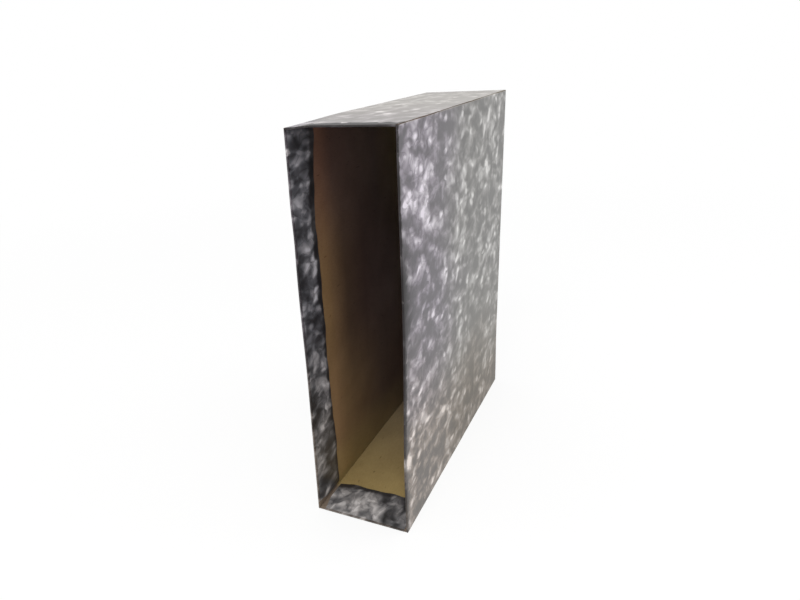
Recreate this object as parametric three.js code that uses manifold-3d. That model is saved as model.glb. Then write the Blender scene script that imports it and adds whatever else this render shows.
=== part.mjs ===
// Open slipcase for an A4 lever arch file: a folded board blank covered with marbled paper.
// Millimetres, +Z up. The mouth faces -Y. The origin is at the bottom centre of the case.
import * as THREE from 'three';
import { mergeVertices } from 'three/addons/utils/BufferGeometryUtils.js';
import Module from 'manifold-3d';

const wasm = await Module();
wasm.setup();

// Outside of the finished case, paper included
const caseWidth = 83;
const caseDepth = 290;
const caseHeight = 324;

// Sheet materials
const boardThickness = 1.2;
const paperThickness = 0.15;

// How the blank is folded
const foldRadius = 0.8; // outside of a scored fold
const edgeRadius = 0.4; // crushed corner of a cut board edge at the mouth
const buttGap = 0.2; // between two walls that only butt together

// How the paper is cut
const wallTurnIn = 34; // depth of paper inside the left and right walls
const floorTurnIn = 40; // depth of paper inside the top and bottom walls
const turnInCutAcross = 11; // corner cut off the strip's turn-in, along the mouth
const turnInCutBack = 4; // the same cut, along the depth
const mouthCornerGap = 2.4; // bare board between the turn-ins in a corner of the mouth
const wrapEndGap = 1; // bare board above and below the wrap on the outside
const stripSideGap = 0.6; // bare board beside a strip, along the long edges
const stripBackGap = 1.2; // bare board behind a strip, along the back edge

const arcSteps = 4; // facets in a quarter turn of a fold
const spare = 5; // how far a cutter runs past what it cuts

// Faces of the board, worked out from the outside and the paper on it
const boardHalfWidth = caseWidth / 2 - paperThickness;
const boardFront = -caseDepth / 2 + paperThickness;
const boardBack = caseDepth / 2 - paperThickness;
const boardLow = paperThickness;
const boardHigh = caseHeight - paperThickness;
const innerHalfWidth = boardHalfWidth - boardThickness;
const innerBack = boardBack - boardThickness;
const turnInHalfWidth = innerHalfWidth - mouthCornerGap;

// Points of an arc about (x, y) from one angle to another, in quarter turns
function arc(x, y, radius, fromQuarter, toQuarter) {
  const points = [];
  for (let step = 0; step <= arcSteps; step += 1) {
    const quarter = fromQuarter + ((toQuarter - fromQuarter) * step) / arcSteps;
    const turn = (quarter * Math.PI) / 2;
    // The ends of the arc lie on whole quarters, so they take the exact coordinate.
    const whole = Number.isInteger(quarter);
    const across = whole ? Math.round(Math.cos(turn)) : Math.cos(turn);
    const along = whole ? Math.round(Math.sin(turn)) : Math.sin(turn);
    points.push(new THREE.Vector2(x + radius * across, y + radius * along));
  }
  return points;
}

// An outline in the X-Y plane, drawn up along Z
function drawnUp(outline, low, high) {
  const shape = new THREE.Shape(outline);
  const geometry = new THREE.ExtrudeGeometry(shape, { depth: high - low, bevelEnabled: false });
  return geometry.translate(0, 0, low);
}

// An outline in the Y-Z plane, drawn along X and centred on the case
function drawnAcross(outline, halfWidth) {
  const shape = new THREE.Shape(outline);
  const geometry = new THREE.ExtrudeGeometry(shape, { depth: 2 * halfWidth, bevelEnabled: false });
  geometry.translate(0, 0, -halfWidth);
  const toCase = new THREE.Matrix4().makeBasis(
    new THREE.Vector3(0, 1, 0),
    new THREE.Vector3(0, 0, 1),
    new THREE.Vector3(1, 0, 0),
  );
  return geometry.applyMatrix4(toCase);
}

// A block between two corners, for cutting
function block(low, high) {
  const size = new THREE.Vector3().subVectors(high, low);
  const middle = new THREE.Vector3().addVectors(low, high).multiplyScalar(0.5);
  return new THREE.BoxGeometry(size.x, size.y, size.z).translate(middle.x, middle.y, middle.z);
}

function toSolid(geometry) {
  const bare = geometry.clone();
  bare.deleteAttribute('normal');
  bare.deleteAttribute('uv');
  const merged = mergeVertices(bare, 1e-5);
  return new wasm.Manifold(
    new wasm.Mesh({
      numProp: 3,
      vertProperties: new Float32Array(merged.attributes.position.array),
      triVerts: new Uint32Array(merged.index.array),
    }),
  );
}

function toGeometry(solid) {
  const { vertProperties, triVerts } = solid.getMesh();
  const geometry = new THREE.BufferGeometry();
  geometry.setAttribute('position', new THREE.BufferAttribute(vertProperties, 3));
  geometry.setIndex(new THREE.BufferAttribute(triVerts, 1));
  const faceted = geometry.toNonIndexed();
  faceted.computeVertexNormals();
  return faceted;
}

// The way round the outside of the U of walls, from the left front edge by the back to the right.
// Offset grows it outwards, so the paper's two faces and the board's face share their corners.
function wallOutside(offset) {
  const x = boardHalfWidth;
  return [
    ...arc(-x + edgeRadius, boardFront + edgeRadius, edgeRadius + offset, 3, 2),
    ...arc(-x + foldRadius, boardBack - foldRadius, foldRadius + offset, 2, 1),
    ...arc(x - foldRadius, boardBack - foldRadius, foldRadius + offset, 1, 0),
    ...arc(x - edgeRadius, boardFront + edgeRadius, edgeRadius + offset, 0, -1),
  ];
}

// The inner corner of a wall's front edge: side is 1 on the right and -1 on the left
function innerLip(side, offset) {
  const x = side * (innerHalfWidth + edgeRadius);
  const towardsMiddle = side > 0 ? [3, 2] : [4, 3];
  return arc(x, boardFront + edgeRadius, edgeRadius + offset, ...towardsMiddle);
}

// The front edge of the top or bottom wall, in the Y-Z plane, from its outside to its inside.
// heightAt turns a distance from the wall's outside into a height.
function panelLip(offset, heightAt) {
  const y = boardFront + edgeRadius;
  const outer = arc(y, edgeRadius, edgeRadius + offset, 3, 2);
  const inner = arc(y, boardThickness - edgeRadius, edgeRadius + offset, 2, 1);
  return [...outer, ...inner].map((point) => new THREE.Vector2(point.x, heightAt(point.y)));
}

const heightFromBottom = (distance) => boardLow + distance;
const heightFromTop = (distance) => boardHigh - distance;

// The blank: a back and four walls in one piece of board. The left, back and right walls make a U
// in plan. The top and bottom walls fold from the back wall and fit between the side walls.
function makeBoard() {
  const walls = toSolid(
    drawnUp(
      [
        ...wallOutside(0),
        ...innerLip(1, 0),
        new THREE.Vector2(innerHalfWidth, innerBack),
        new THREE.Vector2(-innerHalfWidth, innerBack),
        ...innerLip(-1, 0),
      ],
      boardLow - spare,
      boardHigh + spare,
    ),
  );
  // Side view of the whole blank, with the folds at the top and bottom of the back
  const sideView = toSolid(
    drawnAcross(
      [
        new THREE.Vector2(boardFront - spare, boardLow),
        ...arc(boardBack - foldRadius, boardLow + foldRadius, foldRadius, -1, 0),
        ...arc(boardBack - foldRadius, boardHigh - foldRadius, foldRadius, 0, 1),
        new THREE.Vector2(boardFront - spare, boardHigh),
      ],
      boardHalfWidth + spare,
    ),
  );
  const inBack = boardBack - boardThickness / 2;
  const panels = [heightFromBottom, heightFromTop].map((heightAt) =>
    toSolid(
      drawnAcross(
        [
          ...panelLip(0, heightAt),
          new THREE.Vector2(inBack, heightAt(boardThickness)),
          new THREE.Vector2(inBack, heightAt(0)),
        ],
        innerHalfWidth - buttGap,
      ),
    ),
  );
  return toGeometry(walls.intersect(sideView).add(panels[0]).add(panels[1]));
}

// The sheet round the left, back and right walls, turned in at both front edges
function makeSideWrap() {
  const turnInEnd = boardFront + wallTurnIn;
  const sheet = toSolid(
    drawnUp(
      [
        ...wallOutside(paperThickness),
        ...innerLip(1, paperThickness),
        new THREE.Vector2(innerHalfWidth - paperThickness, turnInEnd),
        new THREE.Vector2(innerHalfWidth, turnInEnd),
        ...innerLip(1, 0).reverse(),
        ...wallOutside(0).reverse(),
        ...innerLip(-1, 0).reverse(),
        new THREE.Vector2(-innerHalfWidth, turnInEnd),
        new THREE.Vector2(-innerHalfWidth + paperThickness, turnInEnd),
        ...innerLip(-1, paperThickness),
      ],
      boardLow + wrapEndGap,
      boardHigh - wrapEndGap,
    ),
  );
  // The turn-ins stop short of the floor and of the top wall.
  const halfWidth = innerHalfWidth + edgeRadius;
  const front = boardFront - spare;
  const back = turnInEnd + spare;
  const floorCut = boardLow + boardThickness + mouthCornerGap;
  const topCut = boardHigh - boardThickness - mouthCornerGap;
  const belowTurnIns = block(
    new THREE.Vector3(-halfWidth, front, boardLow - spare),
    new THREE.Vector3(halfWidth, back, floorCut),
  );
  const aboveTurnIns = block(
    new THREE.Vector3(-halfWidth, front, topCut),
    new THREE.Vector3(halfWidth, back, boardHigh + spare),
  );
  return toGeometry(sheet.subtract(toSolid(belowTurnIns)).subtract(toSolid(aboveTurnIns)));
}

// The strip on the top or bottom wall, turned in at the mouth with its far corners cut off
function makeStrip(heightAt) {
  const turnInEnd = boardFront + floorTurnIn;
  const backEnd = boardBack - stripBackGap;
  const halfWidth = boardHalfWidth - stripSideGap;
  const sheet = toSolid(
    drawnAcross(
      [
        new THREE.Vector2(backEnd, heightAt(0)),
        new THREE.Vector2(backEnd, heightAt(-paperThickness)),
        ...panelLip(paperThickness, heightAt),
        new THREE.Vector2(turnInEnd, heightAt(boardThickness + paperThickness)),
        new THREE.Vector2(turnInEnd, heightAt(boardThickness)),
        ...panelLip(0, heightAt).reverse(),
      ],
      halfWidth,
    ),
  );
  // Plan of the paper on one side of the middle that the front edge and the turn-in lose
  const frontCut = boardFront + edgeRadius;
  const heights = [heightAt(-spare), heightAt(boardThickness + spare)];
  const insideHeights = [heightAt(boardThickness / 2), heightAt(boardThickness + spare)];
  const cutPlan = (side, points, [from, to]) =>
    toSolid(
      drawnUp(
        points.map(([x, y]) => new THREE.Vector2(side * x, y)),
        Math.min(from, to),
        Math.max(from, to),
      ),
    );
  let strip = sheet;
  for (const side of [-1, 1]) {
    const frontCorner = [
      [turnInHalfWidth, boardFront - spare],
      [halfWidth + spare, boardFront - spare],
      [halfWidth + spare, frontCut],
      [turnInHalfWidth, frontCut],
    ];
    const turnInSide = [
      [turnInHalfWidth, frontCut - spare],
      [halfWidth + spare, frontCut - spare],
      [halfWidth + spare, turnInEnd + spare],
      [turnInHalfWidth - turnInCutAcross, turnInEnd + spare],
      [turnInHalfWidth - turnInCutAcross, turnInEnd],
      [turnInHalfWidth, turnInEnd - turnInCutBack],
    ];
    strip = strip.subtract(cutPlan(side, frontCorner, heights));
    strip = strip.subtract(cutPlan(side, turnInSide, insideHeights));
  }
  return toGeometry(strip);
}

function brownBoard() {
  return new THREE.MeshStandardMaterial({ color: 0x8a7350, roughness: 0.85, metalness: 0 });
}

function marbledPaper() {
  return new THREE.MeshStandardMaterial({ color: 0x6e6c6d, roughness: 0.5, metalness: 0 });
}

function addPiece(group, name, geometry, material) {
  const mesh = new THREE.Mesh(geometry, material);
  mesh.name = name;
  group.add(mesh);
}

const boxFileCase = new THREE.Group();
addPiece(boxFileCase, 'board_case', makeBoard(), brownBoard());
addPiece(boxFileCase, 'side_wrap', makeSideWrap(), marbledPaper());
addPiece(boxFileCase, 'top_strip', makeStrip(heightFromTop), marbledPaper());
addPiece(boxFileCase, 'bottom_strip', makeStrip(heightFromBottom), marbledPaper());

export default boxFileCase;
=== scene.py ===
import math
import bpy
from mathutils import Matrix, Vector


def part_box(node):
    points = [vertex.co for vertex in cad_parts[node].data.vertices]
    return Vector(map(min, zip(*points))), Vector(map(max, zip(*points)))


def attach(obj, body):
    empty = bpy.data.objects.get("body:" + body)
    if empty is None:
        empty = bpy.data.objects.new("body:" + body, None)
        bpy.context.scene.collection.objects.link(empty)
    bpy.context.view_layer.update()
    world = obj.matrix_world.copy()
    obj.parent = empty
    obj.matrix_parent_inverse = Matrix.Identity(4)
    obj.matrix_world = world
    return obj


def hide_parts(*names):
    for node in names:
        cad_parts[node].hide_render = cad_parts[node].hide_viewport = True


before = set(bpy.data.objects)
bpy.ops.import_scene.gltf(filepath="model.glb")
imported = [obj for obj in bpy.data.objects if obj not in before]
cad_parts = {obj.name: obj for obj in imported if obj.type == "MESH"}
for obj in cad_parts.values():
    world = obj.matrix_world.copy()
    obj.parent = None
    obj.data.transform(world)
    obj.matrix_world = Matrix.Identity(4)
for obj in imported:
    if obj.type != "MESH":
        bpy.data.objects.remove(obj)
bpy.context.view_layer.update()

from types import SimpleNamespace

import bmesh
import bpy
import numpy as np
from mathutils import Matrix

# The view. A camera stands in front of the mouth, to the right and a little above the case, and
# looks down on it. Its place and lens come from the outer corners of the case in the photograph.
camera_place = (0.19984, -0.53985, 0.36713)
camera_right = (0.89220261, 0.44753822, -0.06069625)
camera_down = (0.12715776, -0.37787601, -0.91708267)
camera_ahead = (-0.4333652, 0.81050556, -0.39404992)
camera_lens_mm = 29.02
camera_film_mm = 36.0
camera_clip = (0.01, 30.0)
camera_shift = (0.0785, 0.0382)

camera_data = bpy.data.cameras.new("camera")
camera_data.lens = camera_lens_mm
camera_data.sensor_width = camera_film_mm
camera_data.shift_x, camera_data.shift_y = camera_shift
camera_data.clip_start, camera_data.clip_end = camera_clip
camera = bpy.data.objects.new("camera", camera_data)
bpy.context.scene.collection.objects.link(camera)
camera_up = [-part for part in camera_down]
camera_behind = [-part for part in camera_ahead]
camera_turn = Matrix((camera_right, camera_up, camera_behind)).transposed().to_4x4()
camera.matrix_world = Matrix.Translation(camera_place) @ camera_turn
bpy.context.scene.camera = camera
bpy.context.scene.view_settings.view_transform = "Standard"


# The surroundings. A plain white room lights the case softly from all round, and a pale floor
# carries it. Two large soft lamps stand high in front of the mouth and to the right of the case.
room_light = 0.8
floor_half_size = 4.0
floor_colour = (0.9, 0.9, 0.9)
floor_shade_kept = 0.15
floor_fade_start = 0.35
floor_fade_end = 1.6


def plug(tree, socket, value):
    """Gives a socket another node's output, a number or a colour."""
    if isinstance(value, bpy.types.NodeSocket):
        tree.links.new(value, socket)
    elif isinstance(value, tuple) and socket.type == "RGBA":
        socket.default_value = (*value[:3], 1.0)
    else:
        socket.default_value = value


def new_node(tree, kind, settings=None, **inputs):
    """Adds a shader node. Settings are its own properties, inputs its sockets by name."""
    node = tree.nodes.new(kind)
    for name, value in (settings or {}).items():
        setattr(node, name, value)
    for name, value in inputs.items():
        plug(tree, node.inputs[name.replace("_", " ")], value)
    return node


def calculate(tree, operation, *values):
    """One Math node. Returns its output."""
    node = tree.nodes.new("ShaderNodeMath")
    node.operation = operation
    for socket, value in zip(node.inputs, values):
        plug(tree, socket, value)
    return node.outputs[0]


def seen_directly(tree):
    """1 for rays from the camera or mirrored or passed on by a surface, and 0 for the rest."""
    path = tree.nodes.new("ShaderNodeLightPath").outputs
    mirrored = calculate(tree, "MAXIMUM", path["Is Glossy Ray"], path["Is Transmission Ray"])
    return calculate(tree, "MAXIMUM", path["Is Camera Ray"], mirrored)


room = bpy.data.worlds.new("white_room")
room.use_nodes = True
bpy.context.scene.world = room
room_tree = room.node_tree
room_background = room_tree.nodes["Background"]
room_background.inputs["Color"].default_value = (1.0, 1.0, 1.0, 1.0)
room_strength = calculate(room_tree, "MAXIMUM", seen_directly(room_tree), room_light)
room_tree.links.new(room_strength, room_background.inputs["Strength"])

floor_mesh = bpy.data.meshes.new("floor")
far, near = floor_half_size, -floor_half_size
floor_corners = [(near, near, 0.0), (far, near, 0.0), (far, far, 0.0), (near, far, 0.0)]
floor_mesh.from_pydata(floor_corners, [], [(0, 1, 2, 3)])
floor = bpy.data.objects.new("floor", floor_mesh)
bpy.context.scene.collection.objects.link(floor)

floor_paint = bpy.data.materials.new("pale_floor")
floor_paint.use_nodes = True
floor_tree = floor_paint.node_tree
floor_tree.nodes.clear()
floor_place = floor_tree.nodes.new("ShaderNodeTexCoord").outputs["Object"]
floor_reach = new_node(
    floor_tree, "ShaderNodeVectorMath", {"operation": "LENGTH"}, Vector=floor_place
)
floor_fade = new_node(
    floor_tree,
    "ShaderNodeMapRange",
    {"interpolation_type": "SMOOTHSTEP"},
    Value=floor_reach.outputs["Value"],
    From_Min=floor_fade_start,
    From_Max=floor_fade_end,
    To_Min=1.0 - floor_shade_kept,
    To_Max=1.0,
)
floor_seen = seen_directly(floor_tree)
floor_white_share = calculate(floor_tree, "MULTIPLY", floor_fade.outputs["Result"], floor_seen)
floor_white = new_node(floor_tree, "ShaderNodeEmission", Color=(1.0, 1.0, 1.0), Strength=1.0)
floor_plain = new_node(floor_tree, "ShaderNodeBsdfDiffuse", Color=floor_colour)
floor_mix = new_node(floor_tree, "ShaderNodeMixShader", Fac=floor_white_share)
floor_tree.links.new(floor_plain.outputs[0], floor_mix.inputs[1])
floor_tree.links.new(floor_white.outputs[0], floor_mix.inputs[2])
floor_out = floor_tree.nodes.new("ShaderNodeOutputMaterial")
floor_tree.links.new(floor_mix.outputs[0], floor_out.inputs["Surface"])
floor_mesh.materials.append(floor_paint)


def soft_lamp(name, place, target, size, power, colour):
    """A large square lamp at a place, facing a target."""
    data = bpy.data.lights.new(name, "AREA")
    data.shape = "SQUARE"
    data.size = size
    data.energy = power
    data.color = colour
    lamp = bpy.data.objects.new(name, data)
    bpy.context.scene.collection.objects.link(lamp)
    aim = [end - start for start, end in zip(place, target)]
    length = math.sqrt(sum(part * part for part in aim))
    down = Matrix.Rotation(math.acos(-aim[2] / length), 4, "X")
    around = Matrix.Rotation(math.atan2(aim[1], aim[0]) - math.pi / 2, 4, "Z")
    lamp.matrix_world = Matrix.Translation(place) @ around @ down


case_middle = (0.0, 0.0, 0.16)
front_lamp_place = (0.2, -1.35, 1.6)
right_lamp_place = (1.5, 0.9, 1.5)
front_lamp = {"size": 1.0, "power": 20.0, "colour": (1.0, 0.99, 0.97)}
right_lamp = {"size": 1.2, "power": 8.0, "colour": (0.98, 0.98, 1.0)}
soft_lamp("front_lamp", front_lamp_place, case_middle, **front_lamp)
soft_lamp("right_lamp", right_lamp_place, case_middle, **right_lamp)


# The board case. One blank of thin brown board, creased and folded up into a back and four walls,
# and open at the mouth. The long edges of its walls only butt together, and it has bowed a little.
wrap_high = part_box("side_wrap")[1]
board_low, board_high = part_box("board_case")
strip_low, strip_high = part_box("bottom_strip")
paper = wrap_high.x - board_high.x
board = strip_high.z - strip_low.z - 2 * paper
board_half = board_high.x
board_front = board_low.y
board_back = board_high.y
inner_half = board_half - board
crushed_edge = 0.0004
fold_radius = 0.0008
board_slice = 0.007
left_bow = 0.0012
left_bow_heights = (0.12, 0.30)
left_flare = 0.0014
left_flare_heights = (0.235, 0.275)
right_bow = 0.0015
right_bow_heights = (0.04, 0.32)
right_foot = 0.0009
right_foot_heights = (0.0, 0.07)
corner_droop = 0.0014
bow_reach = 0.2
droop_reach = 0.10
droop_low = 0.3
board_smooth_angle = 35
merged_within = 2e-6
sliced_within = 1e-6


def ramp(value, start, end):
    """0 before start, 1 after end, and smooth between."""
    share = np.clip((value - start) / (end - start), 0.0, 1.0)
    return share * share * (3.0 - 2.0 * share)


def hump(value, start, end):
    """A smooth hump of height 1 between start and end, and 0 outside."""
    share = np.clip((value - start) / (end - start), 0.0, 1.0)
    return np.sin(share * math.pi) ** 2


def settle(points):
    """Bows the walls near the mouth, as board does with time. All pieces follow it alike."""
    x, y, z = points[:, 0], points[:, 1], points[:, 2]
    near_mouth = 1.0 - ramp(y, board_front, board_front + bow_reach)
    on_left = ramp(-x, 0.5 * board_half, inner_half)
    on_right = ramp(x, 0.5 * board_half, inner_half)
    left = left_bow * hump(z, *left_bow_heights) + left_flare * ramp(z, *left_flare_heights)
    right = right_bow * hump(z, *right_bow_heights)
    moved = points.copy()
    moved[:, 0] += near_mouth * (on_right * right - on_left * left)
    moved[:, 0] += on_right * right_foot * (1.0 - ramp(z, *right_foot_heights))
    crushed = on_left * ramp(z, droop_low, board_high.z)
    crushed = crushed * (1.0 - ramp(y, board_front, board_front + droop_reach))
    moved[:, 2] -= corner_droop * crushed
    return moved


def finish_mesh(mesh, smooth_angle):
    """Smooth faces, with a hard edge where the surface turns by more than the angle."""
    mesh.shade_smooth()
    mesh.set_sharp_from_angle(angle=math.radians(smooth_angle))
    mesh.update()


def sliced_board(node):
    """The blank's solid, cut into small faces so that it can bow."""
    cut = bmesh.new()
    cut.from_mesh(node.data)
    bmesh.ops.remove_doubles(cut, verts=cut.verts, dist=merged_within)
    for axis in range(3):
        start = board_low[axis] + 0.5 * board_slice
        count = int((board_high[axis] - start) / board_slice)
        normal = [1.0 if part == axis else 0.0 for part in range(3)]
        for step in range(count + 1):
            place = [0.0, 0.0, 0.0]
            place[axis] = start + step * board_slice
            everything = cut.verts[:] + cut.edges[:] + cut.faces[:]
            slicing = {"dist": sliced_within, "plane_co": place, "plane_no": normal}
            bmesh.ops.bisect_plane(cut, geom=everything, **slicing)
    for vert, place in zip(cut.verts, settle(np.array([vert.co[:] for vert in cut.verts]))):
        vert.co = place
    mesh = bpy.data.meshes.new("board_case_folded")
    cut.to_mesh(mesh)
    cut.free()
    finish_mesh(mesh, board_smooth_angle)
    return mesh


def masked(tree, value, span, low=0.0, high=1.0):
    """A smooth step of a value: low before the span, high after it."""
    node = new_node(tree, "ShaderNodeMapRange", {"interpolation_type": "SMOOTHSTEP"}, Value=value)
    for name, number in zip(("From Min", "From Max", "To Min", "To Max"), (*span, low, high)):
        node.inputs[name].default_value = number
    return node.outputs["Result"]


def fading(tree, value, span, high=1.0):
    """A smooth step down: high before the span, 0 after it."""
    return masked(tree, value, span, high, 0.0)


def product(tree, first, *others):
    """Several shares multiplied together."""
    for other in others:
        first = calculate(tree, "MULTIPLY", first, other)
    return first


def noise(tree, place, scale, detail, roughness):
    """Soft cloudy noise. Returns a value round 0.5."""
    inputs = {"Vector": place, "Scale": scale, "Detail": detail, "Roughness": roughness}
    return new_node(tree, "ShaderNodeTexNoise", **inputs).outputs[0]


def painted_over(tree, share, under, over, blend="MIX"):
    """One colour laid over another by a share."""
    node = new_node(tree, "ShaderNodeMix", {"data_type": "RGBA", "blend_type": blend})
    plug(tree, node.inputs[0], share)
    plug(tree, node.inputs[6], under)
    plug(tree, node.inputs[7], over)
    return node.outputs[2]


def ramped(tree, value, stops):
    """A colour that follows a value through stops. Each stop holds a place and a colour."""
    node = new_node(tree, "ShaderNodeValToRGB", Fac=value)
    elements = node.color_ramp.elements
    while len(elements) < len(stops):
        elements.new(0.5)
    for element, stop in zip(elements, stops):
        element.position = stop[0]
        element.color = (*stop[1], 1.0)
    return node.outputs["Color"]


# The board's own brown, and the fibres and flecks in it
board_browns = ((0.25, (0.352, 0.240, 0.115)), (0.75, (0.576, 0.413, 0.205)))
fleck_brown = (0.144, 0.088, 0.045)
fleck_from = (0.68, 0.76)
fleck_share = 0.5
fibre_stretch = (1.0, 0.25, 1.0)
fibre_contrast = 0.45
cloud_contrast = 0.6
brown_shift = -0.02
fibre_relief = 0.0002
fibre_bump = 0.35
board_roughness = 0.85
board_sheen = 0.25

# How the brown changes from the mouth (0) to the back (1), as painted shade that makes the board
# darker and greyer inside the case. Each row holds a place and the share of red, green and blue
# that is kept: on the floor, then low, midway and high on the walls
floor_painted_shades = ((0.12, (0.78, 0.81, 0.66)), (0.30, (0.70, 0.73, 0.66)), (0.84, (0.41, 0.44, 0.66)))
low_wall_painted_shades = (
    (0.155, (0.80, 0.69, 0.69)),
    (0.224, (0.58, 0.52, 0.51)),
    (0.330, (0.50, 0.46, 0.51)),
    (0.500, (0.32, 0.31, 0.48)),
    (0.900, (0.38, 0.36, 0.66)),
)
middle_wall_painted_shades = (
    (0.155, (0.62, 0.53, 0.49)),
    (0.190, (0.52, 0.445, 0.46)),
    (0.270, (0.275, 0.24, 0.31)),
    (0.397, (0.225, 0.195, 0.34)),
    (0.620, (0.42, 0.44, 0.84)),
    (0.900, (0.58, 0.67, 0.98)),
)
high_wall_painted_shades = (
    (0.155, (0.48, 0.35, 0.47)),
    (0.224, (0.34, 0.29, 0.48)),
    (0.328, (0.41, 0.39, 0.67)),
    (0.500, (0.48, 0.51, 0.90)),
    (0.660, (0.68, 0.78, 1.00)),
    (0.900, (0.75, 0.92, 1.00)),
)
# Painted shade and light: corners, right wall, seam and front edge
corner_painted_shade = (0.42, 0.47, 0.80)
right_wall_painted_shade = (0.34, 0.26, 0.24)
seam_painted_light = (1.0, 0.96, 0.85)
top_edge_shade = (0.18, 0.19, 0.27)
front_edge_painted_shade = (0.06, 0.06, 0.08)

# Where these shades begin and end, in metres, and how strong they are at most. Each pair of
# places spans one soft change, and a pair of shares holds the ones before and after it
floor_to_wall = (0.004, 0.055)
low_to_middle = (0.06, 0.16)
middle_to_high = (0.19, 0.30)
floor_heights = (0.002, 0.006)
by_right_wall_across = (0.018, 0.040)
by_right_wall_share = 0.5
seam_bottom = (0.004, 0.010)
seam_top = (0.020, 0.045)
seam_depths = (-0.10, -0.065)
seam_share = 0.7
corner_shade_across = (0.0335, 0.0350)
corner_shade_heights = (0.008, 0.012)
corner_shade_depths = (-0.115, -0.105)
corner_shade_share = 0.9
top_edge_heights = (0.3222, 0.3232)
top_edge_share = 0.8
front_edge_depths = (-0.1446, -0.1436)
front_edge_foot = (0.006, 0.012)
front_edge_shares = (0.35, 0.8)


def board_painted_shading(tree, across, depth, height):
    """How the brown changes over the case, as painted light and shade. The floor is yellower than
    the walls, and deep inside the painted shade makes the brown greyer and darker."""
    inward = calculate(tree, "MULTIPLY_ADD", depth, 1.0 / (board_back - board_front), 0.5)
    wall = ramped(tree, inward, low_wall_painted_shades)
    for heights, shades in ((low_to_middle, middle_wall_painted_shades), (middle_to_high, high_wall_painted_shades)):
        wall = painted_over(tree, masked(tree, height, heights), wall, ramped(tree, inward, shades))
    shade = ramped(tree, inward, floor_painted_shades)
    shade = painted_over(tree, masked(tree, height, floor_to_wall), shade, wall)

    # Near the mouth, painted shade makes the floor darker and redder by the right wall, and painted
    # light makes the walls paler over the seam
    by_right_wall = masked(tree, across, by_right_wall_across, high=by_right_wall_share)
    by_right_wall = product(tree, by_right_wall, fading(tree, height, floor_heights))
    shade = painted_over(tree, by_right_wall, shade, right_wall_painted_shade)
    over_seam = fading(tree, depth, seam_depths, high=seam_share)
    over_seam = product(tree, over_seam, masked(tree, height, seam_bottom))
    over_seam = product(tree, over_seam, fading(tree, height, seam_top))
    return painted_over(tree, over_seam, shade, seam_painted_light)


def board_corner_and_edge_shading(tree, across, depth, height, shade):
    """Painted shade in the front corners of the floor and on the board's front edge, and a darker,
    greyer board where it shows along the top between the papers.
    """
    # Painted shade, darker and bluer, in the front corners of the floor
    corner_shaded = masked(tree, calculate(tree, "ABSOLUTE", across), corner_shade_across)
    corner_shaded = product(tree, corner_shaded, fading(tree, height, corner_shade_heights))
    corner_shaded = product(tree, corner_shaded, fading(tree, depth, corner_shade_depths, high=corner_shade_share))
    shade = painted_over(tree, corner_shaded, shade, corner_painted_shade)
    at_top = masked(tree, height, top_edge_heights, high=top_edge_share)
    shade = painted_over(tree, at_top, shade, top_edge_shade)
    # Painted shade on the board's front edge, weaker at its foot
    at_front = fading(tree, depth, front_edge_depths)
    front_share = masked(tree, height, front_edge_foot, *front_edge_shares)
    at_front = product(tree, at_front, front_share)
    return painted_over(tree, at_front, shade, front_edge_painted_shade)


def brown_board():
    """Bare brown board: long pulp fibres, flecks, a slow change of tone over the sheet, and painted
    light and shade over the case.
    """
    material = bpy.data.materials.new("brown_board")
    material.use_nodes = True
    tree = material.node_tree
    surface = tree.nodes["Principled BSDF"]
    place = tree.nodes.new("ShaderNodeTexCoord").outputs["Object"]
    across, depth, height = new_node(tree, "ShaderNodeSeparateXYZ", Vector=place).outputs
    stretched = new_node(tree, "ShaderNodeMapping", Vector=place, Scale=fibre_stretch).outputs[0]
    fibres = noise(tree, stretched, scale=900.0, detail=6.0, roughness=0.7)
    flecks = noise(tree, stretched, scale=420.0, detail=2.0, roughness=0.5)
    cloud = noise(tree, place, scale=22.0, detail=3.0, roughness=0.55)
    tone = calculate(tree, "MULTIPLY_ADD", fibres, fibre_contrast, brown_shift)
    tone = calculate(tree, "MULTIPLY_ADD", cloud, cloud_contrast, tone)
    flecked = masked(tree, flecks, fleck_from, high=fleck_share)
    pulp = painted_over(tree, flecked, ramped(tree, tone, board_browns), fleck_brown)
    # Painted light and shade over the case, multiplied into the pulp's brown
    shade = board_painted_shading(tree, across, depth, height)
    shade = board_corner_and_edge_shading(tree, across, depth, height, shade)
    colour = painted_over(tree, 1.0, pulp, shade, "MULTIPLY")
    tree.links.new(colour, surface.inputs["Base Color"])
    surface.inputs["Roughness"].default_value = board_roughness
    surface.inputs["Specular IOR Level"].default_value = board_sheen
    relief = {"Strength": fibre_bump, "Distance": fibre_relief, "Height": fibres}
    bump = new_node(tree, "ShaderNodeBump", **relief)
    tree.links.new(bump.outputs["Normal"], surface.inputs["Normal"])
    return material


board_case = bpy.data.objects.new("board_case_folded", sliced_board(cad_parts["board_case"]))
bpy.context.scene.collection.objects.link(board_case)
board_paint = brown_board()
board_case.data.materials.append(board_paint)
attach(board_case, "root")
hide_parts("board_case")


# The side wrap. One sheet of marbled paper is glued round the left wall, the back and the right
# wall. It is folded over the front edges and turned in, by hand, so that its inner edge wanders.
wall_turn_in = 0.0332
turn_in_drift = ((0.0006, 0.0004, 0.0003), (0.150, 0.053, 0.019))
turn_in_seed = 11
deeper_top = 0.0055
deeper_top_heights = (0.245, 0.33)
deeper_low = 0.0042
deeper_low_heights = (0.02, 0.14)
shallower_middle = 0.0012
shallower_middle_heights = (0.2, 0.29)
corner_gap = 0.0023
corner_reach = 0.03
top_corner_gap = 0.0004
left_corner_rise = 0.0070
left_corner_reach = 0.5
left_corner_turn = (0.3, 0.9)
wrap_end_gap_front = 0.0004
wrap_end_gap_back = 0.0003
wrap_low_drift = (5, (0.0002,), (0.09,))
wrap_high_drift = (6, (0.0002,), (0.11,))
flat_step = 0.0032
turn_in_step = 0.0016
height_step = 0.0027
arc_steps = 5
front_edge_steps = 3
lift_at_edge = 0.00022
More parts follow.
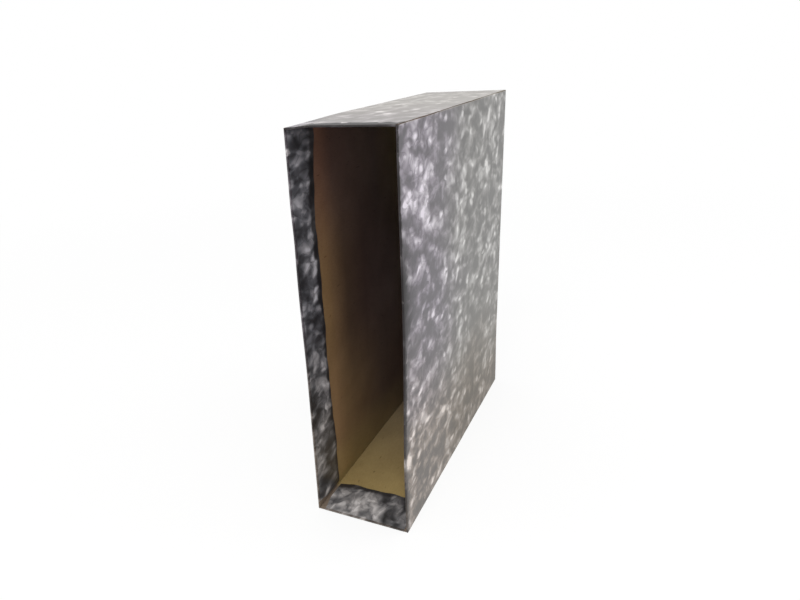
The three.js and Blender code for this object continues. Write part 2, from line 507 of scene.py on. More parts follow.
lift_reach = 0.0025
lift_unevenness = 0.7
lift_under_share = 0.7
wrap_lift = (31, 0.037)
no_edge_near = 1.0
paper_smooth_angle = 40
same_point = 1e-7

# A sheet's way is told from its normal: flat where one part is nearly 1, in a bend where both
# parts are well above 0, and turned inwards where the part across the case points to its middle
flat_part = 0.999
bend_part = 0.3
inward_part = -0.001


def wander(place, seed, amplitudes, lengths):
    """A slow irregular drift along a cut or an edge: a few sines with fixed random phases. The
    seed picks the phases, and amplitudes and lengths are the sizes of the waves."""
    phases = np.random.default_rng(seed).uniform(0.0, 2 * math.pi, len(lengths))
    total = np.zeros_like(np.asarray(place, float))
    for amplitude, length, phase in zip(amplitudes, lengths, phases):
        total = total + amplitude * np.sin(2 * math.pi * np.asarray(place, float) / length + phase)
    return total


def straight(start, end, normal, step):
    """Points along a straight run of a sheet, with the normal that its seen face has."""
    start, end = np.array(start, float), np.array(end, float)
    count = max(2, int(np.linalg.norm(end - start) / step) + 1)
    shares = np.linspace(0.0, 1.0, count + 1)
    return [(*(start + share * (end - start)), *normal) for share in shares]


def bend(centre, radius, first, last):
    """Points round a fold, between two angles in degrees."""
    points = []
    for step in range(arc_steps + 1):
        turn = math.radians(first + (last - first) * step / arc_steps)
        across, along = math.cos(turn), math.sin(turn)
        points.append((centre[0] + radius * across, centre[1] + radius * along, across, along))
    return points


def joined(*runs):
    """Runs of a sheet put end to end, without the doubled points."""
    points = []
    for run in runs:
        for point in run:
            if not points or math.dist(points[-1][:2], point[:2]) > same_point:
                points.append(point)
    return np.array(points)


def paper_mesh(name, glued, seen, on_sheet, distances):
    """A closed thin sheet between two grids of points: its glued face and its seen face.
    on_sheet gives each point's place on the flat sheet, in metres, which the marbling follows."""
    rows, columns = glued.shape[:2]
    points = settle(np.concatenate([glued.reshape(-1, 3), seen.reshape(-1, 3)]))
    index = np.arange(rows * columns).reshape(rows, columns)
    quads = np.stack([index[:-1, :-1], index[:-1, 1:], index[1:, 1:], index[1:, :-1]], -1)
    quads = quads.reshape(-1, 4)
    far = rows * columns
    border = np.concatenate([index[0, :], index[1:, -1], index[-1, -2::-1], index[-2:0:-1, 0]])
    after = np.roll(border, -1)
    rim = np.stack([border, border + far, after + far, after], -1)
    faces = np.concatenate([quads[:, ::-1], quads + far, rim])
    mesh = bpy.data.meshes.new(name)
    mesh.from_pydata(points.tolist(), [], faces.tolist())
    places = np.tile(on_sheet.reshape(-1, 2), (2, 1))
    corners = np.empty(len(mesh.loops), np.int32)
    mesh.loops.foreach_get("vertex_index", corners)
    layer = mesh.uv_layers.new(name="sheet")
    layer.uv.foreach_set("vector", places[corners].astype(np.float32).ravel())
    for label, values in distances.items():
        attribute = mesh.attributes.new(label, "FLOAT", "POINT")
        attribute.data.foreach_set("value", np.tile(values.ravel(), 2).astype(np.float32))
    turned = bmesh.new()
    turned.from_mesh(mesh)
    bmesh.ops.recalc_face_normals(turned, faces=turned.faces)
    turned.to_mesh(mesh)
    turned.free()
    finish_mesh(mesh, paper_smooth_angle)
    return mesh


# Where the drops lay thick (strength above 0) or thin (below 0), in metres. On the right outside
# and on the left turn-in each row holds depth, height, radius and strength
drops_on_right = (
    (-0.104, 0.275, 0.022, 0.13),
    (-0.120, 0.300, 0.020, 0.08),
    (-0.135, 0.271, 0.010, 0.12),
    (-0.124, 0.261, 0.010, 0.13),
    (-0.090, 0.300, 0.020, 0.03),
    (-0.030, 0.286, 0.010, 0.09),
    (0.022, 0.252, 0.016, 0.08),
    (0.085, 0.305, 0.020, 0.09),
    (0.095, 0.255, 0.035, 0.05),
    (0.030, 0.178, 0.018, 0.06),
    (0.097, 0.082, 0.014, 0.09),
    (-0.075, 0.062, 0.014, 0.05),
    (0.055, 0.122, 0.022, -0.07),
    (0.060, 0.045, 0.030, -0.07),
    (0.000, 0.030, 0.020, -0.06),
    (-0.141, 0.254, 0.005, 0.12),
    (-0.138, 0.065, 0.009, 0.24),
    (-0.141, 0.040, 0.014, -0.17),
    (-0.138, 0.089, 0.010, -0.22),
    (-0.048, 0.199, 0.010, 0.09),
    (-0.034, 0.179, 0.010, 0.09),
    (-0.078, 0.182, 0.012, 0.08),
    (-0.133, 0.166, 0.009, 0.10),
    (-0.108, 0.083, 0.014, 0.07),
    (-0.017, 0.055, 0.014, 0.08),
    (-0.039, 0.223, 0.022, -0.08),
    (-0.062, 0.122, 0.028, -0.08),
    (-0.068, 0.306, 0.012, -0.07),
    (-0.146, 0.200, 0.034, -0.12),
    (0.121, 0.288, 0.018, -0.09),
)
drops_on_left_turn_in = (
    (-0.130, 0.316, 0.016, -0.05),
    (-0.134, 0.290, 0.012, 0.06),
    (-0.139, 0.268, 0.014, 0.06),
    (-0.133, 0.205, 0.014, -0.07),
    (-0.130, 0.237, 0.010, 0.12),
    (-0.133, 0.142, 0.010, 0.10),
    (-0.130, 0.112, 0.009, 0.10),
    (-0.115, 0.295, 0.018, -0.04),
    (-0.117, 0.185, 0.018, -0.09),
    (-0.134, 0.165, 0.012, -0.06),
)

# On the top and on the turn-in over the floor each row holds across, depth, radius and strength
drops_on_top = (
    (0.015, -0.115, 0.030, -0.05),
    (-0.020, -0.060, 0.020, -0.09),
    (0.000, 0.020, 0.030, 0.09),
    (0.025, -0.015, 0.018, -0.09),
)
drops_on_floor = (
    (0.009, -0.130, 0.008, 0.14),
    (-0.020, -0.127, 0.009, 0.12),
    (-0.006, -0.125, 0.006, -0.04),
    (0.023, -0.137, 0.008, -0.06),
    (0.000, -0.128, 0.030, 0.04),
    (0.034, -0.113, 0.014, -0.22),
    (0.000, -0.112, 0.012, 0.05),
)

# The faces that they lie on, and the shares of its radius between which each place fades
right_face = board_half + paper
left_turn_in_face = paper - inner_half
top_face = board_high.z + paper
floor_turn_in_face = board_low.z + board + paper
drop_fade_start = 0.3
drop_fade_end = 1.4

# What the marbling is made up of, each by how much it adds to the thickness of the colour
marbling_level = -0.268
marbling_outside = -0.05
drift_depth = 0.45
cloud_depth = 1.14
feather_depth = 0.18
vein_depth = 0.07
vein_width = (0.0, 0.05)
drop_size = (0.12, 0.62)
drop_chance = (0.35, 0.95)
drop_depths = (-0.03, 0.25)
blurred_away = 0.7
crease_paleness = 0.13
crease_breaks = (0.38, 0.58)
bath_stretch = (0.72, 1.0, 1.0)
bath_pull = 0.012

# The marbling's greys by how thick the colour lies, what age, dust and hands have done to it,
# and the painted light and shade laid over them: a cooler tint inside, a pale veil and glare of
# the sheen, and shade on the front edges
marbling_greys = (
    (0.30, (0.036, 0.035, 0.036)),
    (0.40, (0.068, 0.066, 0.068)),
    (0.48, (0.120, 0.117, 0.120)),
    (0.57, (0.215, 0.210, 0.215)),
    (0.68, (0.400, 0.392, 0.400)),
    (0.80, (0.680, 0.670, 0.680)),
)
front_tint = (1.05, 0.95, 1.08)
back_tint = (1.02, 1.01, 0.96)
low_tint = (1.16, 1.00, 0.84)
inside_tint = (0.95, 1.00, 1.05)
front_glaze = (0.96, 0.90, 1.00)
back_glaze = (0.98, 0.98, 0.93)
low_front_glaze = (1.00, 0.88, 0.77)
low_back_glaze = (0.98, 0.84, 0.63)
fade_and_sheen_low = (0.116, 0.095, 0.060)
fade_and_sheen_high = (0.190, 0.182, 0.177)
top_glaze = (1.00, 0.96, 0.91)
dust_and_sheen = (0.45, 0.42, 0.385)
margin_black = (0.020, 0.019, 0.020)
edge_shade_and_patch_black = (0.020, 0.018, 0.018)
bare_pulp = (0.33, 0.30, 0.29)
torn_pulp = (0.60, 0.57, 0.58)

# Where age, use and painted light and shade have changed the paper, in metres. Each pair spans
# one soft change
back_depths = (-0.10, 0.03)
low_heights = (0.030, 0.140)
low_slope = 0.30
parts_drift = 0.10
top_heights = (0.3225, 0.3236)
left_half = (-0.040, 0.0)
right_half = (0.0, 0.040)
crease_depth = 0.100
crease_width = (0.0006, 0.0040)
crease_heights = (0.215, 0.260)
fade_and_sheen_share_heights = (0.05, 0.20)
fade_and_sheen_tone_heights = (0.04, 0.22)
dust_and_sheen_depths = (-0.14, -0.03)
margin_width = (0.0016, 0.0062)
margin_drift = 0.012
margin_foot = (0.003, 0.006)
margin_widening_heights = (0.10, 0.30)
margin_narrowing_low = 0.0012
margin_widening_high = 0.0040
# Painted shade along the front edges of the paper
paper_edge_shade_front = -0.1450
paper_edge_shade_heights = (0.16, 0.26)
paper_edge_shade_reach_low = 0.0030
paper_edge_shade_reach_high = 0.0008
paper_edge_shade_reach_on_top = 0.013
paper_edge_shade_drift = 0.006
paper_edge_shade_drift_on_top = 0.030
paper_edge_shade_fade = (0.0, 0.0012)
paper_edge_shade_foot = (0.05, 0.11)
over_top_heights = (0.3233, 0.3236)
less_shade_left_heights = (0.316, 0.322)
dark_patch_height = 0.205
dark_patch_length = (0.015, 0.065)
dark_patch_depths = (-0.145, -0.119)
low_dark_patch_depths = (-0.145, -0.136)
low_dark_patch_heights = (0.10, 0.16)
patch_gap_height = 0.063
patch_gap_length = (0.004, 0.012)
knock_place = (-0.0425, -0.145, 0.305)
knock_size = (0.003, 0.008)
fold_wear_width = (0.0, 0.0016)
cut_wear_width = (0.0, 0.0012)
cut_wear_start = (-0.1445, -0.140)
cut_wear_depths = (-0.145, -0.04)

# How strong these changes are. A pair of shares holds the ones before and after a span. The greys
# and the wear are the spans over which the tint, the bare pulp and the torn pulp come
tint_greys = (0.48, 0.66)
tint_shares = (1.0, 0.35)
fade_and_sheen_shares = (0.42, 0.15)
dust_and_sheen_shares = (0.22, 0.34)
margin_share = 0.88
paper_edge_shade_shares = (0.55, 0.9)
less_shade_left_share = 0.4
dark_patch_share = 0.95
low_dark_patch_share = 0.38
knock_wear = 0.20
fold_wear = 0.09
cut_wear = 0.17
cut_wear_shares = (1.35, 1.0)
wear_to_pulp = (0.70, 0.84)
wear_to_torn = (0.0, 0.1)
pulp_share = 0.7

# The satin face: its roughness, sheen and clear coat, and the relief of the paste and the grain
paper_roughness = 0.37
roughness_drift = 0.16
rubbed_roughness = 0.35
darkened_sheen = 0.1
undarkened_sheen = 0.4
full_coat = 0.32
coat_roughness = 0.25
low_back_loss = 0.20
paste_bump = 0.6
paste_relief = 0.0003
grain_bump = 0.3
grain_relief = 0.00006


def distance_to(tree, place, point):
    """How far a place is from a point."""
    node = new_node(tree, "ShaderNodeVectorMath", {"operation": "DISTANCE"}, Vector=place)
    node.inputs[1].default_value = point
    return node.outputs["Value"]


def away_from(tree, value, middle):
    """How far a value is from a middle, either way."""
    return calculate(tree, "ABSOLUTE", calculate(tree, "SUBTRACT", value, middle))


def around_zero(tree, value, width):
    """A noise round 0.5, brought round 0 and made this wide."""
    return calculate(tree, "MULTIPLY_ADD", value, width, -0.5 * width)


def pulled_about(tree, sheet):
    """The sheet's coordinates, stretched along it and dragged about as the bath was."""
    stretched = new_node(tree, "ShaderNodeMapping", Vector=sheet, Scale=bath_stretch).outputs[0]
    pull = new_node(
        tree, "ShaderNodeTexNoise", Vector=stretched, Scale=60.0, Detail=2.0, Roughness=0.5
    )
    drag = new_node(tree, "ShaderNodeVectorMath", {"operation": "MULTIPLY_ADD"})
    tree.links.new(pull.outputs["Color"], drag.inputs[0])
    drag.inputs[1].default_value = [bath_pull] * 3
    drag.inputs[2].default_value = [-0.5 * bath_pull] * 3
    pulled = new_node(tree, "ShaderNodeVectorMath", {"operation": "ADD"}, Vector=stretched)
    tree.links.new(drag.outputs[0], pulled.inputs[1])
    return pulled.outputs[0]


def paper_places(tree):
    """What the paint is laid by: coordinates, parts of the case, and noises on the sheet."""
    at = SimpleNamespace()
    at.sheet = new_node(tree, "ShaderNodeUVMap", {"uv_map": "sheet"}).outputs["UV"]
    at.place = tree.nodes.new("ShaderNodeTexCoord").outputs["Object"]
    apart = new_node(tree, "ShaderNodeSeparateXYZ", Vector=at.place)
    at.across, at.depth, at.height = apart.outputs
    at.margin, at.cut, at.fold = (
        new_node(tree, "ShaderNodeAttribute", {"attribute_name": name}).outputs["Fac"]
        for name in ("margin_distance", "cut_distance", "fold_distance")
    )
    at.drift = noise(tree, at.sheet, scale=15.0, detail=2.0, roughness=0.5)
    at.pulled = pulled_about(tree, at.sheet)
    at.clouds = noise(tree, at.pulled, scale=72.0, detail=2.0, roughness=0.5)
    at.feathers = noise(tree, at.pulled, scale=210.0, detail=3.0, roughness=0.5)

    warp = around_zero(tree, at.drift, parts_drift)
    warped_height = calculate(tree, "ADD", at.height, warp)
    sloping = calculate(tree, "MULTIPLY_ADD", at.depth, low_slope, warped_height)
    at.outside = calculate(tree, "GREATER_THAN", at.margin, 0.5 * no_edge_near)
    at.behind = masked(tree, calculate(tree, "ADD", at.depth, warp), back_depths)
    at.low = fading(tree, sloping, low_heights)
    at.outer_back = product(tree, at.behind, at.outside)
    at.on_top = product(tree, masked(tree, at.height, top_heights), at.outside)
    at.on_left = fading(tree, at.across, left_half)
    at.on_right = masked(tree, at.across, right_half)
    return at


def thick_and_thin_places():
    """The listed places as points on their faces, each with its radius and strength."""
    for face, rows in ((right_face, drops_on_right), (left_turn_in_face, drops_on_left_turn_in)):
        for depth, height, radius, strength in rows:
            yield (face, depth, height), radius, strength
    for face, rows in ((top_face, drops_on_top), (floor_turn_in_face, drops_on_floor)):
        for across, depth, radius, strength in rows:
            yield (across, depth, face), radius, strength


def colour_thickness(tree, at):
    """How thick the grey lies: drops pulled about on the black bath, with fine threads in them."""
    threads = noise(tree, at.pulled, scale=105.0, detail=3.0, roughness=0.5)
    vein = fading(tree, away_from(tree, threads, 0.5), vein_width, high=vein_depth)
    cells = new_node(tree, "ShaderNodeTexVoronoi", {"feature": "F1"}, Vector=at.pulled, Scale=125.0)
    chosen = new_node(tree, "ShaderNodeSeparateColor", Color=cells.outputs["Color"]).outputs["Red"]
    drop = fading(tree, cells.outputs["Distance"], drop_size)
    drop = product(tree, drop, masked(tree, chosen, drop_chance, *drop_depths))
    amount = calculate(tree, "MULTIPLY_ADD", at.drift, drift_depth, marbling_level)
    amount = calculate(tree, "MULTIPLY_ADD", at.outside, marbling_outside, amount)
    amount = calculate(tree, "ADD", amount, drop)
    amount = calculate(tree, "MULTIPLY_ADD", at.clouds, cloud_depth, amount)
    for point, radius, strength in thick_and_thin_places():
        span = (drop_fade_start * radius, drop_fade_end * radius)
        share = fading(tree, distance_to(tree, at.place, point), span, high=strength)
        amount = calculate(tree, "ADD", amount, share)

    # The finest threads have blurred away on the faded parts
    blurred = calculate(tree, "MAXIMUM", at.outer_back, at.on_top)
    fine_share = calculate(tree, "MULTIPLY_ADD", blurred, -blurred_away, 1.0)
    fine = calculate(tree, "SUBTRACT", around_zero(tree, at.feathers, feather_depth), vein)
    amount = calculate(tree, "MULTIPLY_ADD", fine, fine_share, amount)

    # A soft upright crease high on the right side, near the back
    from_crease = away_from(tree, at.depth, crease_depth)
    crease = fading(tree, from_crease, crease_width, high=crease_paleness)
    crease = product(tree, crease, masked(tree, at.height, crease_heights), at.on_right)
    crease = product(tree, crease, masked(tree, at.feathers, crease_breaks))
    return calculate(tree, "ADD", amount, crease)


def aged_colour_and_painted_light(tree, at, amount):
    """The greys with a violet cast in front, greyer behind, yellowed and brown low down, and with a
    cooler tint painted on the turn-ins for the light inside the case. Towards the back they are
    blended evenly into a flat grey, partly the paper's fading and partly a painted pale veil of
    the sheen, and the top gets a pale grey, partly a little dust and partly painted sheen glare."""
    tint = painted_over(tree, at.behind, front_tint, back_tint)
    tint = painted_over(tree, at.low, tint, low_tint)
    # A cooler tint painted on the turn-ins inside the case, for the light there
    tint = painted_over(tree, at.outside, inside_tint, tint)
    tint_share = masked(tree, amount, tint_greys, *tint_shares)
    colour = painted_over(tree, tint_share, ramped(tree, amount, marbling_greys), tint, "MULTIPLY")
    # A flat grey over the back: partly fading, partly a painted pale veil of the sheen
    fade_and_sheen_share = masked(tree, at.height, fade_and_sheen_share_heights, *fade_and_sheen_shares)
    fade_and_sheen_share = product(tree, at.outer_back, fade_and_sheen_share)
    fade_and_sheen = painted_over(tree, masked(tree, at.height, fade_and_sheen_tone_heights), fade_and_sheen_low, fade_and_sheen_high)
    colour = painted_over(tree, fade_and_sheen_share, colour, fade_and_sheen)
    # A pale grey on the top: partly a little dust, partly painted glare of the sheen at grazing
    # view
    dust_and_sheen_share = masked(tree, at.depth, dust_and_sheen_depths, *dust_and_sheen_shares)
    dust_and_sheen_share = product(tree, at.on_top, dust_and_sheen_share)
    return painted_over(tree, dust_and_sheen_share, colour, dust_and_sheen)


def aged_glaze(tree, at):
    """The tint of the shine, which has yellowed with the paper."""
    low_glaze = painted_over(tree, at.behind, low_front_glaze, low_back_glaze)
    glaze = painted_over(tree, at.behind, front_glaze, back_glaze)
    glaze = painted_over(tree, at.low, glaze, low_glaze)
    return painted_over(tree, at.on_top, glaze, top_glaze)


def black_margin(tree, at):
    """A dark band along the sheet's free edge, widest high on the walls."""
    on_wall = masked(tree, at.height, margin_foot)
    widths = (margin_narrowing_low, -margin_widening_high)
    widening = masked(tree, at.height, margin_widening_heights, *widths)
    ragged = around_zero(tree, at.clouds, margin_drift)
    ragged = calculate(tree, "MULTIPLY_ADD", on_wall, widening, ragged)
    from_margin = calculate(tree, "ADD", at.margin, ragged)
    return fading(tree, from_margin, margin_width, high=margin_share)


def painted_edge_shade(tree, at):
    """Painted shade on the front edges, most of all at the top, where it reaches in blotches onto
    the top face.
    """
    over_top = masked(tree, at.height, over_top_heights)
    reach = masked(tree, at.height, paper_edge_shade_heights, paper_edge_shade_reach_low, paper_edge_shade_reach_high)
    edge_shade_end = calculate(tree, "ADD", reach, paper_edge_shade_front)
    edge_shade_end = calculate(tree, "MULTIPLY_ADD", over_top, paper_edge_shade_reach_on_top, edge_shade_end)
    uneven = around_zero(tree, at.feathers, paper_edge_shade_drift)
    blotches = around_zero(tree, at.clouds, paper_edge_shade_drift_on_top)
    uneven = calculate(tree, "MULTIPLY_ADD", blotches, over_top, uneven)
    past_edge = calculate(tree, "SUBTRACT", calculate(tree, "ADD", at.depth, uneven), edge_shade_end)
    share = fading(tree, past_edge, paper_edge_shade_fade)
    share = product(tree, share, masked(tree, at.height, paper_edge_shade_foot, *paper_edge_shade_shares))
    left_edge = product(tree, at.on_left, fading(tree, at.height, less_shade_left_heights))
    kept = calculate(tree, "MULTIPLY_ADD", left_edge, -less_shade_left_share, 1.0)
    return product(tree, share, kept)


def right_edge_dark_patches(tree, at):
    """A soft dark patch half way up the right front edge, and a narrower one below it."""
    from_dark_patch = away_from(tree, at.height, dark_patch_height)
    dark_patch = fading(tree, from_dark_patch, dark_patch_length, high=dark_patch_share)
    dark_patch = product(tree, dark_patch, fading(tree, at.depth, dark_patch_depths))
    low_dark_patch = fading(tree, at.depth, low_dark_patch_depths, high=low_dark_patch_share)
    low_dark_patch = product(tree, low_dark_patch, fading(tree, at.height, low_dark_patch_heights))
    off_patch_gap = away_from(tree, at.height, patch_gap_height)
    low_dark_patch = product(tree, low_dark_patch, masked(tree, off_patch_gap, patch_gap_length))
    return product(tree, calculate(tree, "MAXIMUM", dark_patch, low_dark_patch), at.on_right)


def rubbed_bare(tree, at):
    """How much of the colour is rubbed off at folds and long cut edges, and the pulp under it."""
    rub = noise(tree, at.sheet, scale=90.0, detail=6.0, roughness=0.65)
    from_knock = distance_to(tree, at.place, knock_place)
    knocked = fading(tree, from_knock, knock_size, high=knock_wear)
    near_fold = fading(tree, at.fold, fold_wear_width, high=fold_wear)
    near_cut = fading(tree, at.cut, cut_wear_width, high=cut_wear)
    near_cut = product(tree, near_cut, masked(tree, at.depth, cut_wear_start))
    more_in_front = masked(tree, at.depth, cut_wear_depths, *cut_wear_shares)
    near_cut = product(tree, near_cut, more_in_front)
    wear = calculate(tree, "MAXIMUM", calculate(tree, "MAXIMUM", near_fold, near_cut), knocked)
    worn = masked(tree, calculate(tree, "ADD", wear, rub), wear_to_pulp, high=pulp_share)
    pulp = painted_over(tree, masked(tree, knocked, wear_to_torn), bare_pulp, torn_pulp)
    return worn, pulp


def marbled_paper():
    """Black and grey cloud-marbled paper with a satin face, rubbed pale along its folds."""
    material = bpy.data.materials.new("marbled_paper")
    material.use_nodes = True
    tree = material.node_tree
    surface = tree.nodes["Principled BSDF"]
    at = paper_places(tree)
    colour = aged_colour_and_painted_light(tree, at, colour_thickness(tree, at))
    colour = painted_over(tree, black_margin(tree, at), colour, margin_black)
    # Painted shade on the front edges, and darker patches by the right front edge
    darkened_edges = calculate(tree, "MAXIMUM", painted_edge_shade(tree, at), right_edge_dark_patches(tree, at))
    darkened_edges = product(tree, darkened_edges, at.outside)
    colour = painted_over(tree, darkened_edges, colour, edge_shade_and_patch_black)
    worn, pulp = rubbed_bare(tree, at)
    colour = painted_over(tree, worn, colour, pulp)
    tree.links.new(colour, surface.inputs["Base Color"])

    # The satin face, duller where it is rubbed or yellowed, and where painted shade and darker
    # patches lie along the edges
    undarkened = calculate(tree, "SUBTRACT", 1.0, darkened_edges)
    low_back = product(tree, at.low, at.outer_back)
    gloss = calculate(tree, "MULTIPLY_ADD", at.drift, roughness_drift, paper_roughness)
    gloss = calculate(tree, "MULTIPLY_ADD", worn, rubbed_roughness, gloss)
    sheen = calculate(tree, "MULTIPLY_ADD", low_back, -low_back_loss, darkened_sheen)
    sheen = calculate(tree, "MULTIPLY_ADD", undarkened, undarkened_sheen, sheen)
    coat = calculate(tree, "MULTIPLY_ADD", low_back, -low_back_loss, full_coat)
    tree.links.new(gloss, surface.inputs["Roughness"])
    tree.links.new(sheen, surface.inputs["Specular IOR Level"])
    tree.links.new(product(tree, undarkened, coat), surface.inputs["Coat Weight"])
    tree.links.new(aged_glaze(tree, at), surface.inputs["Coat Tint"])
    surface.inputs["Coat Roughness"].default_value = coat_roughness

    # Uneven paste under the paper, and the paper's own pulp
    paste = noise(tree, at.sheet, scale=120.0, detail=3.0, roughness=0.5)
    grain = noise(tree, at.sheet, scale=1500.0, detail=4.0, roughness=0.6)
    relief = {"Strength": paste_bump, "Distance": paste_relief, "Height": paste}
    pasted = new_node(tree, "ShaderNodeBump", **relief)
    relief = {"Strength": grain_bump, "Distance": grain_relief, "Height": grain}
    grained = new_node(tree, "ShaderNodeBump", Normal=pasted.outputs["Normal"], **relief)
    tree.links.new(grained.outputs["Normal"], surface.inputs["Normal"])
    return material


def wall_turn_in_depth(side, height):
    """How deep the paper reaches into the case. It reaches deeper near the top and low down."""
    drift = wander(height, turn_in_seed + side, *turn_in_drift)
    middle = shallower_middle * hump(height, *shallower_middle_heights)
    top = deeper_top * ramp(height, *deeper_top_heights)
    low = deeper_low * (1.0 - ramp(height, *deeper_low_heights))
    return wall_turn_in - middle + drift + top + low


def wrap_plan():
    """The sheet's way round the walls in plan, from the left turn-in to the right one.
    Each row holds x, y, the seen face's normal, the reach into the turn-in and the share inside."""
    r, big = crushed_edge, fold_radius
    inner_end = (-inner_half, board_front + wall_turn_in)
    lip = (-inner_half - r, board_front + r)
    corner = (-board_half + r, board_front + r)
    fold = (-board_half + big, board_back - big)
    turn_in = straight(inner_end, (-inner_half, lip[1]), (1.0, 0.0), turn_in_step)
    edge_ends = ((lip[0], board_front), (corner[0], board_front))
    front_edge = straight(*edge_ends, (0.0, -1.0), board / front_edge_steps)
    wall = straight((-board_half, corner[1]), (-board_half, fold[1]), (-1.0, 0.0), flat_step)
    half_back = straight((fold[0], board_back), (0.0, board_back), (0.0, 1.0), flat_step)
    over_edge = (bend(lip, r, 0, -90), front_edge, bend(corner, r, -90, -180))
    left = joined(turn_in, *over_edge, wall, bend(fold, big, 180, 90), half_back)
    reach = np.clip((left[:, 1] - lip[1]) / (board_front + wall_turn_in - lip[1]), 0.0, 1.0)
    reach[left[:, 2] < flat_part] = 0.0
    inside = ramp(reach, 0.0, corner_reach)
    left = np.column_stack([left, reach, inside])
    right = left[-2::-1] * np.array([-1.0, 1.0, -1.0, 1.0, 1.0, 1.0])
    return np.concatenate([left, right])


def lifted(to_margin, place, seed, length):
    """How far the turn-in's free edge stands off the board, in waves of a length along it."""
    uneven = 1.0 + wander(place, seed, (lift_unevenness,), (length,))
    return lift_at_edge * (1.0 - ramp(to_margin, 0.0, lift_reach)) * uneven


def make_side_wrap():
    """The side wrap's mesh: the way round the walls, repeated over the height."""
    plan = wrap_plan()
    side = np.where(plan[:, 0] < 0, -1, 1)
    depth_share = (plan[:, 1] - board_front) / (board_back - board_front)
    end_gap = wrap_end_gap_front + (wrap_end_gap_back - wrap_end_gap_front) * depth_share
    outer_low = board_low.z + end_gap + wander(plan[:, 1], *wrap_low_drift)
    outer_high = board_high.z - end_gap + wander(plan[:, 1], *wrap_high_drift)
    past_edge = ramp(-plan[:, 3], *left_corner_turn)
    past_edge[side * plan[:, 2] < inward_part] = 1.0
    front_low = np.where(side < 0, board_low.z + left_corner_rise, outer_low)
    low = outer_low + past_edge * (front_low - outer_low)
    low_rise = np.where(side < 0, ramp(plan[:, 4], 0.0, left_corner_reach), plan[:, 5])
    low = low + low_rise * (board_low.z + board + corner_gap - low)
    high = outer_high + plan[:, 5] * (board_high.z - board - top_corner_gap - outer_high)
    rows = int((board_high.z - board_low.z) / height_step)
    share = np.linspace(0.0, 1.0, rows + 1)[:, None]
    height = low + share * (high - low)
    lip_y = board_front + crushed_edge
    depth = np.where(side < 0, wall_turn_in_depth(-1, height), wall_turn_in_depth(1, height))
    reach = plan[:, 4]
    y = np.where(reach > 0, lip_y + reach * (depth - crushed_edge), plan[:, 1])
    x = np.broadcast_to(plan[:, 0], y.shape)
    glued = np.stack([x, y, height], -1)
    normal = np.broadcast_to(np.stack([plan[:, 2], plan[:, 3], 0 * reach], -1), glued.shape)

    steps = np.linalg.norm(np.diff(plan[:, :2], axis=0), axis=1)
    along = np.concatenate([[0.0], np.cumsum(steps)])
    along = np.where(reach > 0, along - side * (y - plan[:, 1]), along)
    to_margin = np.where(reach > 0, lip_y + depth - crushed_edge - y, no_edge_near)
    to_cut = np.where(reach > 0, no_edge_near, np.minimum(height - low, high - height))
    bends = along[0, np.abs(plan[:, 2:4]).min(1) > bend_part]
    to_fold = np.abs(along[..., None] - bends).min(-1)
    lift = lifted(to_margin, height, *wrap_lift)
    seen = glued + normal * (paper + lift)[..., None]
    glued = glued + normal * (lift_under_share * lift)[..., None]
    on_sheet = np.stack([along, height], -1)
    distances = {"margin_distance": to_margin, "cut_distance": to_cut, "fold_distance": to_fold}
    return paper_mesh("side_wrap_paper", glued, seen, on_sheet, distances)


paper_paint = marbled_paper()
side_wrap = bpy.data.objects.new("side_wrap_paper", make_side_wrap())
bpy.context.scene.collection.objects.link(side_wrap)
side_wrap.data.materials.append(paper_paint)
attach(side_wrap, "root")
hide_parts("side_wrap")


# The top and bottom strips. Each is a strip of the same paper, glued flat on its wall, folded over
# the front edge and turned in. Its far corners are cut off, and it stops short of the side walls.
strip_turn_in = 0.0402
strip_cut_across = 0.011
strip_cut_back = 0.004
strip_side_gap_front = 0.0005
strip_side_gap_back = 0.0004
strip_back_gap = 0.0012
strip_top_front_gap = 0.00025
strip_low_left_gap = 0.0050
strip_low_left_reach = 0.5
strip_step = 0.0014
strip_side_drift = ((0.0002, 0.0001), (0.13, 0.037))
strip_end_drift = ((0.0005, 0.0003), (0.052, 0.017))
strip_lift_length = 0.031
strip_sheet_start = 1.0
turn_in_half = inner_half - corner_gap


def strip_profile():
    """The bottom strip's way, seen from the side, from its back end to its turn-in. Each row holds
    y, z, the seen face's normal, the reach into the turn-in and how far it has narrowed."""
    r = crushed_edge
    low = board_low.z
    outer = (board_front + r, low + r)
    inner = (board_front + r, low + board - r)
    outside = straight((board_back - strip_back_gap, low), (outer[0], low), (0.0, -1.0), flat_step)
    edge_ends = ((board_front, outer[1]), (board_front, inner[1]))
    front_edge = straight(*edge_ends, (-1.0, 0.0), board / front_edge_steps)
    end = (board_front + strip_turn_in, low + board)
    turn_in = straight((inner[0], end[1]), end, (0.0, 1.0), turn_in_step)
    runs = (outside, bend(outer, r, -90, -180), front_edge, bend(inner, r, 180, 90), turn_in)
    profile = joined(*runs)
    reach = np.clip((profile[:, 0] - inner[0]) / (end[0] - inner[0]), 0.0, 1.0)
    reach[profile[:, 3] < flat_part] = 0.0
    narrow = ramp(-profile[:, 0], -(outer[0] + corner_gap), -outer[0])
    narrow[profile[:, 3] > -flat_part] = 1.0
    return np.column_stack([profile, reach, narrow])


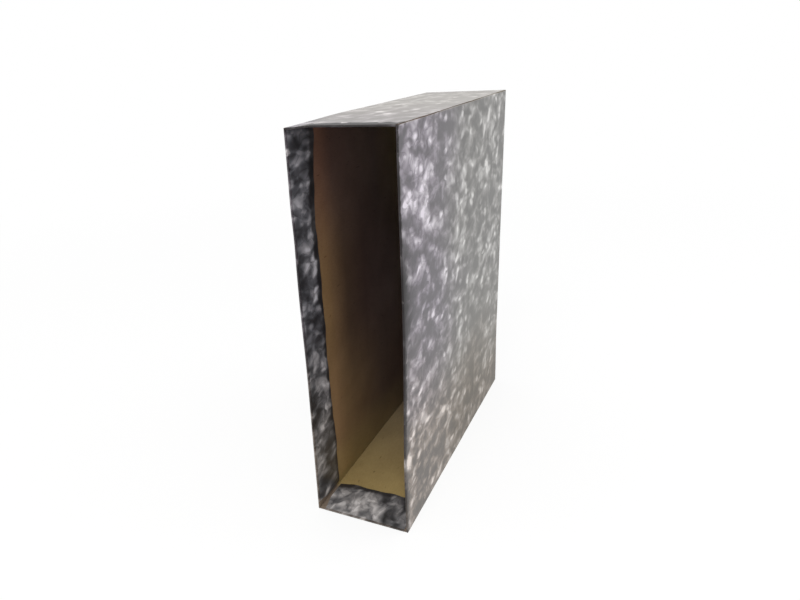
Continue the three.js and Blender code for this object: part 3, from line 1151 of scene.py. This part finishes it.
def make_strip(name, seed, is_top):
    """A strip's mesh: the way over the wall and round its front edge, repeated across the case."""
    profile = strip_profile()
    rows = int(2 * board_half / strip_step)
    share = np.linspace(-1.0, 1.0, rows + 1)[:, None]
    depth_share = (profile[:, 0] - board_front) / (board_back - board_front)
    side_gap = strip_side_gap_front + (strip_side_gap_back - strip_side_gap_front) * depth_share
    side_gap = side_gap + wander(profile[:, 0], seed, *strip_side_drift)
    wide = board_half - side_gap
    front_half = inner_half - strip_top_front_gap
    front_reach = corner_reach
    if not is_top:
        front_half = np.where(share < 0, inner_half - strip_low_left_gap, turn_in_half)
        front_reach = strip_low_left_reach
    half = wide + profile[:, 5] * (front_half - wide)
    half = half + ramp(profile[:, 4], 0.0, front_reach) * (turn_in_half - front_half)
    x = share * half
    from_side = half - np.abs(x)
    cut_off = strip_cut_back * np.clip(1.0 - from_side / strip_cut_across, 0.0, 1.0)
    depth = strip_turn_in - cut_off + wander(x, seed + 1, *strip_end_drift)
    reach = profile[:, 4]
    lip_y = board_front + crushed_edge
    y = np.where(reach > 0, lip_y + reach * (depth - crushed_edge), profile[:, 0])
    z = np.broadcast_to(profile[:, 1], y.shape)
    glued = np.stack([x, y, z], -1)
    normal = np.broadcast_to(np.stack([0 * reach, profile[:, 2], profile[:, 3]], -1), glued.shape)

    steps = np.linalg.norm(np.diff(profile[:, :2], axis=0), axis=1)
    along = np.broadcast_to(np.concatenate([[0.0], np.cumsum(steps)]), y.shape)
    along = along + np.where(reach > 0, y - profile[:, 0], 0.0)
    to_margin = np.where(reach > 0, lip_y + depth - crushed_edge - y, no_edge_near)
    to_cut = np.where(reach > 0, no_edge_near, from_side)
    bends = along[0, np.abs(profile[:, 2:4]).min(1) > bend_part]
    to_fold = np.abs(along[..., None] - bends).min(-1)
    lift = lifted(to_margin, x, seed + 2, strip_lift_length)
    seen = glued + normal * (paper + lift)[..., None]
    glued = glued + normal * (lift_under_share * lift)[..., None]
    if is_top:
        for points in (glued, seen):
            points[..., 2] = board_low.z + board_high.z - points[..., 2]
    on_sheet = np.stack([along + strip_sheet_start + seed, x], -1)
    distances = {"margin_distance": to_margin, "cut_distance": to_cut, "fold_distance": to_fold}
    return paper_mesh(name, glued, seen, on_sheet, distances)


for strip_node, strip_seed, strip_is_top in (("bottom_strip", 3, False), ("top_strip", 8, True)):
    strip_name = strip_node + "_paper"
    strip = bpy.data.objects.new(strip_name, make_strip(strip_name, strip_seed, strip_is_top))
    bpy.context.scene.collection.objects.link(strip)
    strip.data.materials.append(paper_paint)
    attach(strip, "root")
    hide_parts(strip_node)
